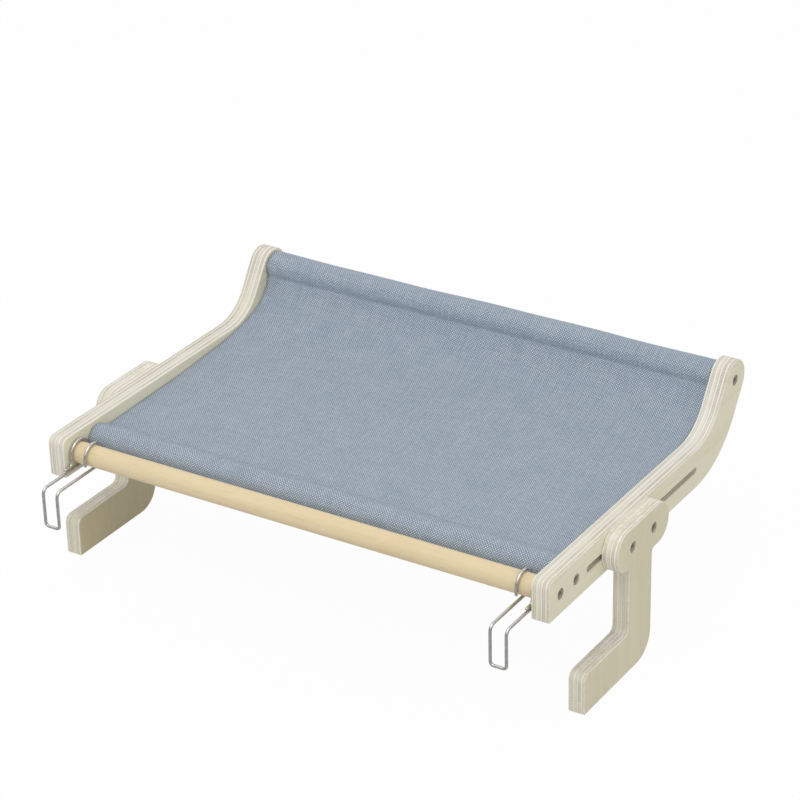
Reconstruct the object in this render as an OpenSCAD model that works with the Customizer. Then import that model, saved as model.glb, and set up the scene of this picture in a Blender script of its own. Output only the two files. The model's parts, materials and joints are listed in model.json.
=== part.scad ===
// Sill-hung cat hammock: two bent plywood rails joined by three round rods, a fabric bed
// stretched between two of the rods, sliding plywood legs that brace against the wall
// below a sill, and two bent-wire hooks that turn on the bare front rod.
// Origin: middle of the front rod's axis. +X along the rod, +Y to the raised back, +Z up.

/* [Frame] */
// Width over the outer faces of the two side rails
frame_w = 540; // [460:5:620]
// Depth of a rail from its front end to its back end
rail_depth = 375; // [365:1:400]
// Height of the rail bar, and of the leg's head that lies against it
rail_h = 40; // [36:1:46]
// Thickness of the rail plywood
rail_t = 18; // [16:0.5:20]
// Radius of the rail's upper front corner
rail_top_r = 8; // [3:0.5:12]
// Radius of the rail's lower front corner
rail_bottom_r = 1.5; // [1:0.5:12]
// Distance from the front rod to the start of the rail's bend
bend_start = 258; // [250:1:266]
// Bend radius on the rail's centre line
bend_r = 72; // [60:1:78]
// Angle by which the back of the rail turns up
bend_angle = 56.5; // [48:0.5:59]

/* [Rods] */
// Diameter of the three wooden rods
rod_d = 21; // [18:0.5:24]
// Gap between a hook's loop on the front rod and the front sleeve of the bed
loop_gap = 1.3; // [0.8:0.1:4]

/* [Fabric bed] */
// Thickness of the fabric
sling_t = 1.6; // [1:0.1:2]
// Gap between a fabric side edge and the rail beside it
sling_side_gap = 1; // [0.5:0.5:6]
// Upward slope of the bed's front stretch, in degrees
sling_slope = 1; // [0.5:0.1:3]
// Slope at which the bed meets the back sleeve, in degrees
sling_back_angle = 68; // [58:1:72]

/* [Legs] */
// Thickness of the leg plywood
leg_t = 16.5; // [15:0.5:18]
// Height of a leg from the top of its head to its sole
leg_height = 147; // [130:1:170]
// Length of the leg's head along the rail
head_len = 98; // [90:1:110]
// Distance from the front rod to the middle of the head, at rest
head_y = 121.5; // [112:0.5:130]
// Distance from the head's round front end back to the stem's front edge
stem_setback = 2.5; // [1:0.5:8]
// Width of the stem
stem_w = 43.5; // [36:0.5:50]
// Length of the foot from its front face to the back of the stem
foot_len = 124.5; // [110:0.5:135]
// Height of the foot
foot_h = 40.5; // [32:0.5:46]
// Radius of the foot's upper front corner
toe_r = 8; // [3:0.5:12]
// Radius of the foot's lower front corner
sole_r = 1.5; // [1:0.5:4]
// Radius of the foot's lower back corner
heel_r = 25; // [12:0.5:30]
// Radius of the inner corner between foot and stem
instep_r = 6.5; // [3:0.5:10]
// Radius of the hollow corner behind the stem, under the head
neck_r = 4; // [2:0.5:6]

/* [Fasteners] */
// Thread diameter of every bolt and screw
bolt_d = 6; // [5:0.5:6.5]
// Diameter of a socket head
bolt_head_d = 10; // [9.5:0.5:12]
// Height of a socket head
bolt_head_h = 6; // [5:0.5:6.5]
// Width across the flats of the hexagon socket
socket_af = 5; // [4:0.5:5]
// Depth of the hexagon socket
socket_depth = 3; // [2:0.5:4]
// Depth of a socket head below the wood's face
head_sink = 1; // [0.5:0.1:1.5]
// Length of a rail screw under its head
rail_screw_len = 40; // [34:1:44]
// Length of a leg bolt under its head
leg_bolt_len = 35; // [35:1:38]
// Distance between the two bolts of a leg
leg_bolt_pitch = 40; // [30:1:46]
// Gap between the front sleeve and a leg washer at the front end of the slot
washer_gap = 2.85; // [1:0.05:6]
// Solid wood between the slot's back end and the bend
slot_land = 1; // [1:0.5:8]
// Outer diameter of a threaded insert in a rod's end
insert_d = 9.8; // [9:0.1:11]
// Length of a threaded insert
insert_len = 22; // [16:1:24]
// Diameter of a washer
washer_d = 12; // [11.5:0.5:12.5]
// Thickness of a washer
washer_t = 1.6; // [1:0.1:2]
// Width across the flats of a nut
nut_af = 10; // [9.5:0.5:10]
// Height of a nut
nut_h = 5; // [4:0.5:5.5]

/* [Wire hooks] */
// Diameter of the hook wire
wire_d = 3; // [2:0.1:3.4]
// Distance between a hook's two parallel wires
hook_w = 16; // [12:0.5:24]
// Distance from the front rod's axis to the hook's drop
hook_reach = 57.5; // [40:0.5:80]
// Length of the drop below the hook's arms
hook_drop = 38.5; // [25:0.5:60]
// Bend radius between arm and drop, on the wire's centre line
hook_bend_r = 6; // [4:0.5:9]
// Bend radius at the drop's bottom corners
hook_corner_r = 3.5; // [2:0.5:5]
// Gap between a hook and the rail beside it
hook_gap = 1.2; // [0.8:0.1:4]
// Bend radius of the wire end beside the rail, which turns forward over the hook's arm
tip_r = 4; // [3:0.5:5]
// Length of that end after its bend
tip_len = 6; // [2:0.5:10]

/* [Hidden] */
$fn = 64;

// Overrun of a cut past the face that it opens
over = 1;
// Overlap of the rail's straights with its bend
lap = 0.3;
// Radial clearance round a bolt, a screw and an insert
bolt_clear = 0.2;
head_clear = 0.3;
insert_clear = 0.1;
slot_clear = 0.25;
// Clearance between the sleeves and the rods, and between the hook loops and the front rod
sleeve_clear = 0.3;
loop_clear = 0.8;
// Clearance between the bed's underside and the leg washers that slide under it
bed_clear = 0.6;
// Depth of the pilot hole past the screw's tip
pilot_extra = 2;
// Depth by which the sheet's back end lies in the wall of the back sleeve
seam_lap = 0.3;
// Share of the bed, between its two rods, that runs straight before it curves up
bed_straight_share = 0.51;
// Number of flats along the bed's curved stretch
bed_steps = 28;
// Straight end of a hook's loop down the front of the rod
tail_len = 5;

rail_out = frame_w / 2;
rail_in = rail_out - rail_t;
leg_out = rail_out + leg_t;
rod_r = rod_d / 2;
bar_r = rail_h / 2;
rod_len = 2 * rail_in;

// The sleeves, the hook loops beside the front one, and the distance between their two rods
sleeve_in = rod_r + sleeve_clear;
sleeve_out = sleeve_in + sling_t;
loop_r = rod_r + loop_clear + wire_d / 2;
rod_pitch = loop_r + wire_d / 2 + loop_gap + sleeve_out;

// The rail's centre line: level from the front, then the bend, then a straight to the back rod
rail_front = -bar_r;
bend_end = [bend_start + bend_r * sin(bend_angle), bend_r - bend_r * cos(bend_angle)];
back_y = rail_front + rail_depth - bar_r;
back_straight = (back_y - bend_end[0]) / cos(bend_angle);
back_z = bend_end[1] + back_straight * sin(bend_angle);
// Y and Z of the three rods
front_rod_at = [0, 0];
sling_front_at = [rod_pitch, 0];
sling_back_at = [back_y, back_z];
rod_places = [front_rod_at, sling_front_at, sling_back_at];

slot_w = bolt_d + 2 * slot_clear;
slot_front = rod_pitch + sleeve_out + washer_gap + (washer_d - slot_w) / 2;
slot_back = bend_start - slot_land;
bore_d = bolt_d + 2 * bolt_clear;
counterbore_d = bolt_head_d + 2 * head_clear;
counterbore_depth = bolt_head_h + head_sink;

head_front = head_y - head_len / 2;
stem_front = head_front + bar_r + stem_setback;
stem_back = stem_front + stem_w;
foot_front = stem_back - foot_len;
sole_z = bar_r - leg_height;
foot_top = sole_z + foot_h;
leg_bolt_places = [for (s = [-1, 1]) [head_y + s * leg_bolt_pitch / 2, 0]];

// The bed: its upper face leaves the front sleeve at the seam, runs straight,
// and follows one quadratic curve up to the point where it is tangent to the back sleeve
bed_w = 2 * (rail_in - sling_side_gap);
seam_z = washer_d / 2 + bed_clear + sling_t;
seam_y = rod_pitch + sqrt(pow(sleeve_out - sling_t / 2, 2) - pow(seam_z - sling_t / 2, 2));
curve_y = rod_pitch + bed_straight_share * (back_y - rod_pitch);
curve_start = [curve_y, seam_z + (curve_y - seam_y) * tan(sling_slope)];
curve_end = sling_back_at + (sleeve_out - seam_lap) * [-sin(sling_back_angle), cos(sling_back_angle)];
// Where the tangents at the curve's two ends cross
cross_y = (curve_end[1] - curve_start[1] - curve_end[0] * tan(sling_back_angle)
           + curve_start[0] * tan(sling_slope)) / (tan(sling_slope) - tan(sling_back_angle));
curve_mid = [cross_y, curve_start[1] + (cross_y - curve_start[0]) * tan(sling_slope)];

function curve_at(t) = (1 - t) * (1 - t) * curve_start + 2 * t * (1 - t) * curve_mid + t * t * curve_end;
function curve_dir(t) = 2 * (1 - t) * (curve_mid - curve_start) + 2 * t * (curve_end - curve_mid);
function below(p, dir) = p + sling_t / norm(dir) * [dir[1], -dir[0]];

hook_x = rail_in - hook_gap - wire_d / 2 - hook_w / 2;

ply_color = [0.86, 0.82, 0.72];
leg_color = [0.83, 0.79, 0.68];
beech_color = [0.88, 0.78, 0.60];
cloth_color = [0.50, 0.58, 0.66];
steel_color = [0.62, 0.62, 0.62];
wire_color = [0.78, 0.78, 0.78];
brass_color = [0.75, 0.62, 0.35];

// A plate cut from the outline of its children, drawn as Y and Z, from x0 outwards
module plate(x0, t) translate([x0, 0, 0]) rotate([90, 0, 90]) linear_extrude(t) children();

// A round bar along +X, from x0, through the point at = [y, z]
module bar(x0, len, d, at) translate([x0, at[0], at[1]]) rotate([0, 90, 0]) cylinder(d = d, h = len);

// The waste outside a round corner at p; sy and sz point out of the corner
module corner_waste(p, r, sy, sz) difference() {
    translate(p - [sy > 0 ? r : over, sz > 0 ? r : over]) square(r + over);
    translate(p - [sy * r, sz * r]) circle(r);
}

// The web inside a hollow corner at p; sy and sz point from the corner into the open
module corner_web(p, r, sy, sz) difference() {
    translate(p - [sy > 0 ? over : r, sz > 0 ? over : r]) square(r + over);
    translate(p + [sy * r, sz * r]) circle(r);
}

// Both sides: the child as drawn, on the right, and its mirror image
module both_sides() {
    children();
    mirror([1, 0, 0]) children();
}

// Outline of a rail without its holes
module rail_outline() {
    difference() {
        translate([rail_front, -bar_r]) square([bend_start - rail_front + lap, rail_h]);
        corner_waste([rail_front, bar_r], rail_top_r, -1, 1);
        corner_waste([rail_front, -bar_r], rail_bottom_r, -1, -1);
    }
    translate([bend_start, bend_r]) intersection() {
        difference() {
            circle(bend_r + bar_r, $fn = 128);
            circle(bend_r - bar_r, $fn = 128);
        }
        polygon((bend_r + rail_h) * [[0, 0], [0, -1], [tan(bend_angle / 2), -1], [sin(bend_angle), -cos(bend_angle)]]);
    }
    translate(bend_end) rotate(bend_angle) translate([-lap, -bar_r]) square([back_straight + lap, rail_h]);
    translate(sling_back_at) circle(bar_r);
}

// The long slot that the leg bolts slide in
module slot_outline() {
    translate([slot_front + slot_w / 2, -slot_w / 2]) square([slot_back - slot_front - slot_w, slot_w]);
    for (y = [slot_front + slot_w / 2, slot_back - slot_w / 2]) translate([y, 0]) circle(d = slot_w);
}

// A bolt hole through wood of thickness t whose outer face is at x = face, with its counterbore
module bolt_hole(face, t, at) {
    bar(face - t - over, t + 2 * over, bore_d, at);
    bar(face - counterbore_depth, counterbore_depth + over, counterbore_d, at);
}

module side_rail() color(ply_color) difference() {
    plate(rail_in, rail_t) difference() {
        rail_outline();
        slot_outline();
    }
    for (at = rod_places) bolt_hole(rail_out, rail_t, at);
}

// A rod between the rails, bored at both ends for an insert and the screw's tip
module rod(at) color(beech_color) difference() {
    bar(-rod_len / 2, rod_len, rod_d, at);
    both_sides() {
        bar(rail_in - insert_len - insert_clear, insert_len + insert_clear + over, insert_d + 2 * insert_clear, at);
        bar(rail_out - counterbore_depth - rail_screw_len - pilot_extra, rail_screw_len, bore_d, at);
    }
}

// A threaded insert flush with the rod's end
module insert(at) color(brass_color) difference() {
    bar(rail_in - insert_len, insert_len, insert_d, at);
    bar(rail_in - insert_len - over, insert_len + 2 * over, bore_d, at);
}

// A socket-head bolt that sits in the counterbore of wood whose outer face is at x = face
module socket_bolt(face, len, at) color(steel_color) {
    seat = face - counterbore_depth;
    difference() {
        union() {
            bar(seat - len, len, bolt_d, at);
            bar(seat, bolt_head_h, bolt_head_d, at);
        }
        translate([seat + bolt_head_h - socket_depth, at[0], at[1]]) rotate([0, 90, 0])
            cylinder(d = socket_af / cos(30), h = socket_depth + over, $fn = 6);
    }
}

// Outline of a leg without its holes
module leg_outline() {
    // Head with two round ends
    translate([head_front + bar_r, -bar_r]) square([head_len - rail_h, rail_h]);
    for (y = [head_front + bar_r, head_front + head_len - bar_r]) translate([y, 0]) circle(bar_r);
    // Stem and foot
    difference() {
        union() {
            translate([stem_front, sole_z]) square([stem_w, leg_height - bar_r]);
            translate([foot_front, sole_z]) square([foot_len, foot_h]);
        }
        corner_waste([foot_front, foot_top], toe_r, -1, 1);
        corner_waste([foot_front, sole_z], sole_r, -1, -1);
        corner_waste([stem_back, sole_z], heel_r, 1, -1);
    }
    corner_web([stem_front, foot_top], instep_r, -1, 1);
    corner_web([stem_front, -bar_r], min(neck_r, stem_setback), -1, -1);
    corner_web([stem_back, -bar_r], neck_r, 1, -1);
}

module leg() color(leg_color) difference() {
    plate(rail_out, leg_t) leg_outline();
    for (at = leg_bolt_places) bolt_hole(leg_out, leg_t, at);
}

module leg_bolts() for (at = leg_bolt_places) socket_bolt(leg_out, leg_bolt_len, at);

module leg_washers() color(steel_color) for (at = leg_bolt_places) difference() {
    bar(rail_in - washer_t, washer_t, washer_d, at);
    bar(rail_in - washer_t - over, washer_t + 2 * over, bore_d, at);
}

module leg_nuts() color(steel_color) for (at = leg_bolt_places) difference() {
    translate([rail_in - washer_t - nut_h, at[0], at[1]]) rotate([0, 90, 0]) rotate(30)
        cylinder(d = nut_af / cos(30), h = nut_h, $fn = 6);
    bar(rail_in - washer_t - nut_h - over, nut_h + 2 * over, bore_d, at);
}

// Outline of the bed in Y and Z: two sleeves and the sheet between them
module sling_outline() difference() {
    union() {
        for (at = [sling_front_at, sling_back_at]) translate(at) circle(sleeve_out);
        sheet_outline();
    }
    for (at = [sling_front_at, sling_back_at]) translate(at) circle(sleeve_in);
}

// Outline of the sheet alone, whose two ends lie in the walls of the sleeves
module sheet_outline() {
    lower = [for (i = [0:bed_steps]) below(curve_at(i / bed_steps), curve_dir(i / bed_steps))];
    upper = [for (i = [bed_steps:-1:0]) curve_at(i / bed_steps)];
    seam = [seam_y, seam_z];
    flat_dir = [cos(sling_slope), sin(sling_slope)];
    polygon(concat([below(seam, flat_dir)], lower, upper, [seam]));
}

module sling() color(cloth_color) plate(-bed_w / 2, bed_w) sling_outline();

// A turn of wire in the Y-Z plane about at = [y, z], from angle a0 through a
module wire_turn(at, r, a0, a) translate([0, at[0], at[1]]) rotate([90, 0, 90]) rotate(a0)
    rotate_extrude(angle = a) translate([r, 0]) circle(d = wire_d, $fn = 32);

// A straight stretch of wire that runs down from [y, z]
module wire_down(y, z, len) translate([0, y, z - len]) cylinder(d = wire_d, h = len, $fn = 32);

// One of the hook's two parallel wires, at x = 0, from its free end round the rod to the drop's end
module hook_side() {
    wire_down(-loop_r, 0, tail_len);
    wire_turn([0, 0], loop_r, -90, 270);
    translate([0, 0, -loop_r]) rotate([90, 0, 0]) cylinder(d = wire_d, h = hook_reach - hook_bend_r, $fn = 32);
    wire_turn([hook_bend_r - hook_reach, -loop_r - hook_bend_r], hook_bend_r, 90, 90);
    wire_down(-hook_reach, -loop_r - hook_bend_r, hook_drop - hook_corner_r - hook_bend_r);
}

// A whole hook, bent from one wire, with its middle at x = 0 and the rail on its +X side
module hook_wire() {
    translate([hook_w / 2, 0, 0]) wire_turn([-loop_r - tip_r, -tail_len], tip_r, -90, 90);
    translate([hook_w / 2, -loop_r - tip_r, -tail_len - tip_r]) rotate([90, 0, 0])
        cylinder(d = wire_d, h = tip_len, $fn = 32);
    both_sides() {
        translate([hook_w / 2, 0, 0]) hook_side();
        translate([hook_w / 2 - hook_corner_r, -hook_reach, -loop_r - hook_drop + hook_corner_r])
            rotate([90, 0, 0]) rotate(-90) rotate_extrude(angle = 90)
            translate([hook_corner_r, 0]) circle(d = wire_d, $fn = 32);
    }
    translate([-hook_w / 2 + hook_corner_r, -hook_reach, -loop_r - hook_drop])
        rotate([0, 90, 0]) cylinder(d = wire_d, h = hook_w - 2 * hook_corner_r, $fn = 32);
}

module hook() color(wire_color) translate([hook_x, 0, 0]) hook_wire();

mirror([1, 0, 0]) side_rail();  // side_rail_left
side_rail();  // side_rail_right
rod(front_rod_at);  // front_rod
rod(sling_front_at);  // sling_front_rod
rod(sling_back_at);  // sling_back_rod
sling();
both_sides() socket_bolt(rail_out, rail_screw_len, front_rod_at);  // front_rod_screws
both_sides() socket_bolt(rail_out, rail_screw_len, sling_front_at);  // sling_front_rod_screws
both_sides() socket_bolt(rail_out, rail_screw_len, sling_back_at);  // sling_back_rod_screws
both_sides() insert(front_rod_at);  // front_rod_inserts
both_sides() insert(sling_front_at);  // sling_front_rod_inserts
both_sides() insert(sling_back_at);  // sling_back_rod_inserts
mirror([1, 0, 0]) leg();  // leg_left
leg();  // leg_right
mirror([1, 0, 0]) leg_bolts();  // leg_bolts_left
leg_bolts();  // leg_bolts_right
mirror([1, 0, 0]) leg_washers();  // leg_washers_left
leg_washers();  // leg_washers_right
mirror([1, 0, 0]) leg_nuts();  // leg_nuts_left
leg_nuts();  // leg_nuts_right
mirror([1, 0, 0]) hook();  // hook_left
hook();  // hook_right
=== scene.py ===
"""A sill-hung cat hammock: plywood rails and sliding legs, beech rods, a sewn fabric bed and wire hooks.

Lengths are in metres. +X runs along the rods, +Y to the raised back and +Z up, and the origin
is the middle of the front rod's axis.
"""

import json
import math

import bmesh
import bpy
import numpy as np
from bpy.props import FloatProperty, FloatVectorProperty, IntProperty, PointerProperty
from mathutils import Matrix, Vector


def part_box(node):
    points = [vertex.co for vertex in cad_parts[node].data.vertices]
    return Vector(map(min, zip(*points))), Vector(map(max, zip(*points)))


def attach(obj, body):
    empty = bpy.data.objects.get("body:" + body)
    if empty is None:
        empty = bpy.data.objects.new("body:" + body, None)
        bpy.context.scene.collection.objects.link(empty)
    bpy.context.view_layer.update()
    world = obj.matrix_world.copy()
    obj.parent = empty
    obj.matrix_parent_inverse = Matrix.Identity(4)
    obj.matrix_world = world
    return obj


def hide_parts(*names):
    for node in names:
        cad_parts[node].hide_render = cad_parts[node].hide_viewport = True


bl_info = {
    "name": "Cat Hammock",
    "version": (1, 0, 0),
    "blender": (4, 5, 0),
    "location": "3D View > Sidebar > Hammock",
    "description": "Builds a sill-hung cat hammock around its fixed frame",
    "category": "Add Mesh",
}

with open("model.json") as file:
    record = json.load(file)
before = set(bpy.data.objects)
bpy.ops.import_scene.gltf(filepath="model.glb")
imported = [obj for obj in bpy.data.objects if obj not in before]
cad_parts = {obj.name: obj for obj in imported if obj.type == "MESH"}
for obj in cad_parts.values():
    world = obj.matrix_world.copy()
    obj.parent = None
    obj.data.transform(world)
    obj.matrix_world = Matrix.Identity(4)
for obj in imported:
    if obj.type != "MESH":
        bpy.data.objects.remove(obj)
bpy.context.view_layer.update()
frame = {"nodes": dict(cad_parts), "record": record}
SIDES = {"left": -1, "right": 1}


def span(node):
    """Lowest and highest corner of a CAD node, as arrays."""
    low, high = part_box(node)
    return np.array(low, float), np.array(high, float)


def middle(node):
    """Y and Z of the middle of a CAD node's box: a rod's axis."""
    low, high = span(node)
    return (low[1:] + high[1:]) / 2


# Places that the frame gives
RAIL_LOW, RAIL_HIGH = span("side_rail_right")
RAIL_IN, RAIL_OUT = RAIL_LOW[0], RAIL_HIGH[0]
BAR_R = -RAIL_LOW[2]
LEG_LOW, LEG_HIGH = span("leg_right")
LEG_OUT = LEG_HIGH[0]
RODS = {node: middle(node) for node in ("front_rod", "sling_front_rod", "sling_back_rod")}
SLING_FRONT, SLING_BACK = RODS["sling_front_rod"], RODS["sling_back_rod"]
ROD_R = span("front_rod")[1][2]
INSERT_HIGH = span("front_rod_inserts")[1]
SCREW_TOP = span("front_rod_screws")[1][0]
BOLT_LOW, BOLT_HIGH = span("leg_bolts_right")
HEAD_R = BOLT_HIGH[2]
LEG_BOLTS = [np.array([y, 0.0]) for y in (BOLT_LOW[1] + HEAD_R, BOLT_HIGH[1] - HEAD_R)]
WASHER_LOW, WASHER_HIGH = span("leg_washers_right")
NUT_LOW, NUT_HIGH = span("leg_nuts_right")
BED_LOW, BED_HIGH = span("sling")
HOOK_LOW, HOOK_HIGH = span("hook_right")
BODY_OF = {node: body for body, nodes in frame["record"]["behaviour"]["bodies"].items() for node in nodes}

# The large lamp's place, what it aims at and its size, and how far the floor reaches from the middle
KEY_PLACE, KEY_AIM, KEY_SIZE = (0.25, -0.7, 2.2), (0, 0.17, 0), 1.6
FLOOR_REACH = 8.0

BLACK, WHITE = (0, 0, 0, 1), (1, 1, 1, 1)
ALONG_X = (0, math.pi / 2, 0)


def tone(red, green, blue):
    """A colour given in the 0 to 255 steps of a screen, as linear light."""
    steps = np.array([red, green, blue]) / 255
    linear = np.where(steps <= 0.04045, steps / 12.92, ((steps + 0.055) / 1.055) ** 2.4)
    return (*linear.tolist(), 1.0)


def number(name, description, default, low=0, **kind):
    return FloatProperty(name=name, description=description, default=default, min=low, **kind)


def length(name, description, default):
    return number(name, description, default, precision=5, subtype="DISTANCE", unit="LENGTH")


def angle(name, description, degrees):
    return number(name, description, math.radians(degrees), -math.tau, subtype="ANGLE", unit="ROTATION")


def share(name, description, default):
    return number(name, description, default, max=1, subtype="FACTOR")


def colour(name, description, *steps):
    return FloatVectorProperty(name=name, description=description, default=tone(*steps), min=0, max=1,
                               size=4, subtype="COLOR")


class WoodSizes(bpy.types.PropertyGroup):
    edge_round: length("Edge rounding", "Rounding radius of the plywood's edges", 0.0011)
    hole_round: length("Hole rounding", "Rounding radius round holes and slots", 0.0004)
    plies: IntProperty(name="Plies", description="Veneers in the plywood", default=8, min=3, max=15)
    bend_start: length("Bend start", "Distance from the front rod to the rail's bend", 0.258)
    bend_radius: length("Bend radius", "Radius of the bend on the rail's centre line", 0.072)
    bend_angle: angle("Bend angle", "Angle by which the back of the rail turns up", 56.5)
    rail_top_round: length("Rail top corner", "Radius of the rail's upper front corner", 0.008)
    rail_bottom_round: length("Rail bottom corner", "Radius of the rail's lower front corner", 0.0015)
    slot_front: length("Slot front", "Front end of the leg slot", 0.046)
    slot_back: length("Slot back", "Back end of the leg slot", 0.257)
    slot_width: length("Slot width", "Width of the leg slot", 0.0065)
    bore: length("Bore", "Diameter of the bolt holes", 0.0064)
    counterbore: length("Counterbore", "Diameter of the sunk holes for the bolt heads", 0.0106)
    counterbore_depth: length("Counterbore depth", "Depth of the sunk holes", 0.007)
    stem_front: length("Stem front", "Front edge of a leg's stem", 0.095)
    stem_back: length("Stem back", "Back edge of a leg's stem", 0.1385)
    foot_top: length("Foot height", "Height of a leg's foot", 0.0405)
    toe_round: length("Toe", "Radius of the foot's upper front corner", 0.008)
    sole_round: length("Sole", "Radius of the foot's lower front corner", 0.0015)
    heel_round: length("Heel", "Radius of the foot's lower back corner", 0.025)
    instep_round: length("Instep", "Radius of the hollow between foot and stem", 0.0065)
    neck_front_round: length("Neck front", "Radius under the head, in front of the stem", 0.0025)
    neck_back_round: length("Neck back", "Radius under the head, behind the stem", 0.004)
    rod_chamfer: length("Rod chamfer", "Chamfer at a rod's ends", 0.0006)
    insert_room: length("Insert room", "Room round an insert in its hole", 0.0001)
    insert_hole: length("Insert hole", "Depth of the hole for an insert", 0.0221)
    screw_hole: length("Screw hole", "Depth of a rod's bore below the top of the screw's head", 0.048)
    face_light: colour("Face, light", "Pale tone of the rails' face veneers", 239, 234, 209)
    face_dark: colour("Face, dark", "Darker tone of the rails' face veneers", 231, 224, 197)
    leg_light: colour("Leg face, light", "Pale tone of the legs' outer veneer", 229, 222, 194)
    leg_dark: colour("Leg face, dark", "Darker tone of the legs' outer veneer", 221, 213, 183)
    # Painted shade: the legs' inner faces lie in shade under the bed, and these tones paint that shade on
    # them, darker and warmer than the outer veneer.
    leg_back_shaded_light: colour("Leg back, light", "Pale tone of the legs' inner veneer", 224, 211, 174)
    leg_back_shaded_dark: colour("Leg back, dark", "Darker tone of the legs' inner veneer", 216, 202, 163)
    # Painted light: these edge tones are lighter than the rails' edge tones to paint the extra light that the
    # legs' low front edges get.
    leg_core_brightened_light: colour("Leg core, light", "Long-grain veneers of the legs' edges", 254, 251, 245)
    leg_core_brightened_dark: colour("Leg core, dark", "End-grain veneers of the legs' edges", 209, 202, 188)
    core_light: colour("Core, light", "Long-grain veneers of the rails' edges", 243, 240, 233)
    core_dark: colour("Core, dark", "End-grain veneers of the rails' edges", 196, 188, 172)
    warm_patch: colour("Warm patch", "Warm clouds in the face veneer", 230, 212, 182)
    beech_light: colour("Beech, light", "Pale tone of the rods", 237, 218, 178)
    beech_dark: colour("Beech, dark", "Darker streaks of the rods", 222, 200, 157)


class ClothSizes(bpy.types.PropertyGroup):
    thickness: length("Thickness", "Thickness of the cloth", 0.0016)
    thread_pitch: length("Thread pitch", "Distance between neighbouring threads", 0.00133)
    near_gap: length("Rod gap", "Gap between the cloth and a rod where the tunnel is tight", 0.0004)
    front_puff: length("Front puff", "How far the front tunnel stands off its rod on top", 0.0039)
    back_puff: length("Back puff", "How far the back tunnel stands off its rod on top", 0.0009)
    back_lean: length("Back lean", "How much more the back tunnel stands off at the left end", 0.0008)
    crease_gap: length("Crease gap", "Distance of the back crease from its rod", 0.0034)
    crease_angle: angle("Crease angle", "Direction of the back crease as seen from its rod", 196)
    valley_y: length("Valley place", "Place of the valley behind the front tunnel", 0.054)
    valley_z: length("Valley height", "Height of the cloth's middle in that valley", 0.0072)
    seam_y: length("Front seam", "Place of the stitches behind the front tunnel", 0.0465)
    hem: length("Hem", "How far the cloth's end reaches past those stitches, under the bed", 0.0005)
    rise_y: length("Rise place", "Where the flat stretch ends and the cloth curves up", 0.170)
    rise_z: length("Rise height", "Height of the cloth's middle there", 0.0094)
    rise_pull: length("Rise pull", "Length of the curve's handle at its front end", 0.058)
    back_pull: length("Back pull", "Length of the curve's handle at its back end", 0.046)
    back_slope: angle("Back slope", "Slope of the cloth where it meets the back crease", 77)
    stitch_pitch: length("Stitch pitch", "Distance between stitches", 0.0042)
    stitch_length: length("Stitch length", "Length of a stitch on the face", 0.0029)
    stitch_radius: length("Stitch thickness", "Radius of the sewing thread", 0.00024)
    warp: colour("Warp", "Colour of the threads that run front to back", 236, 246, 255)
    weft: colour("Weft", "Colour of the threads that run side to side", 142, 167, 195)
    thread: colour("Sewing thread", "Colour of the stitches", 152, 168, 186)


class MetalSizes(bpy.types.PropertyGroup):
    socket: length("Socket", "Width across the flats of the hexagon socket", 0.005)
    socket_depth: length("Socket depth", "Depth of the hexagon socket", 0.003)
    socket_cone: length("Socket cone", "Depth of the drill's cone below the socket", 0.0006)
    head_height: length("Head height", "Height of a socket head", 0.006)
    bolt_radius: length("Bolt radius", "Radius of the bolts' thread", 0.003)
    screw_length: length("Screw length", "Length of a rail screw under its head", 0.040)
    thread_pitch: length("Thread pitch", "Pitch of the bolts' thread", 0.001)
    thread_depth: length("Thread depth", "Depth of the bolts' thread", 0.00035)
    thread_run: length("Threaded length", "Length of the thread up from a bolt's tip", 0.016)
    washer_room: length("Washer room", "Room between a bolt and its washer", 0.0002)
    nut_room: length("Nut room", "Room between a bolt and its nut", 0.0001)
    nut_flats: length("Nut width", "Width across the flats of a nut", 0.010)
    chamfer: length("Chamfer", "Chamfer of heads, nuts and washers", 0.0004)
    wire_radius: length("Wire radius", "Radius of the hook wire", 0.0015)
    hook_width: length("Hook width", "Distance between a hook's two wires", 0.016)
    hook_reach: length("Hook reach", "Distance from the rod's axis to the hook's drop", 0.0575)
    hook_drop: length("Hook drop", "Length of the drop below the arms", 0.0385)
    hook_bend: length("Hook bend", "Bend radius between arm and drop", 0.006)
    hook_corner: length("Hook corner", "Bend radius at the drop's bottom corners", 0.0035)
    tail: length("Tail", "Straight end of a hook's loop", 0.005)
    tip_bend: length("Tip bend", "Bend radius of the wire end beside the rail, which turns forward", 0.004)
    tip: length("Tip", "Length of that end after its bend", 0.006)
    steel: colour("Steel", "Colour of bolts, nuts and washers", 202, 193, 182)
    wire: colour("Wire", "Colour of the hook wire", 216, 213, 209)
    brass: colour("Brass", "Colour of the threaded inserts", 206, 172, 104)


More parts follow.
